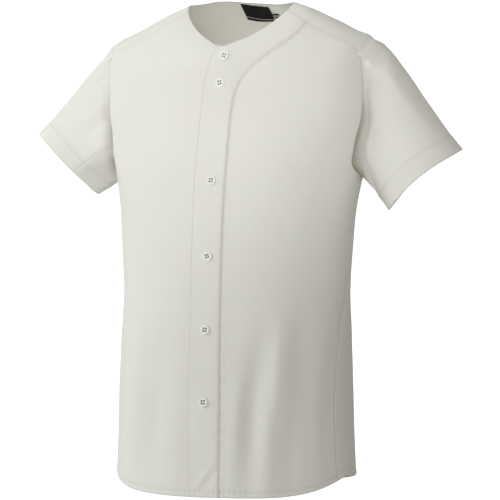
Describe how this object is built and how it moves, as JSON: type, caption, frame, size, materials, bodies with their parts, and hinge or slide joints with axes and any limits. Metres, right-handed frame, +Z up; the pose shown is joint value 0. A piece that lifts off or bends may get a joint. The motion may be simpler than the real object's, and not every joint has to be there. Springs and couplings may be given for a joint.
{
  "type": "short-sleeved baseball jersey",
  "caption": "Plain off-white short-sleeved baseball jersey with a buttoned front and a curved hem, hollow and filled out as if worn.",
  "frame": {"origin": "midway between the two points where the shoulder seams meet the neckline, where the wearer's shoulders carry the jersey", "axes": "+Z up, from the hem to the neck; +Y to the wearer's back; +X to the wearer's left"},
  "size_m": [0.7429, 0.2592, 0.7754],
  "materials": {
    "jersey_cloth": "matte double-knit cloth",
    "button": "pearly satin",
    "label": "woven black ribbon",
    "tag": "woven black ribbon"
  },
  "bodies": {
    "root": {"front_left": "jersey_cloth", "front_right": "jersey_cloth", "back": "jersey_cloth", "side_left": "jersey_cloth", "side_right": "jersey_cloth", "sleeve_left": "jersey_cloth", "sleeve_right": "jersey_cloth", "sleeve_under_left": "jersey_cloth", "sleeve_under_right": "jersey_cloth", "button_1": "button", "button_2": "button", "button_3": "button", "button_4": "button", "button_5": "button", "button_6": "button", "neck_label": "label", "size_tag": "tag"}
  },
  "joints": []
}
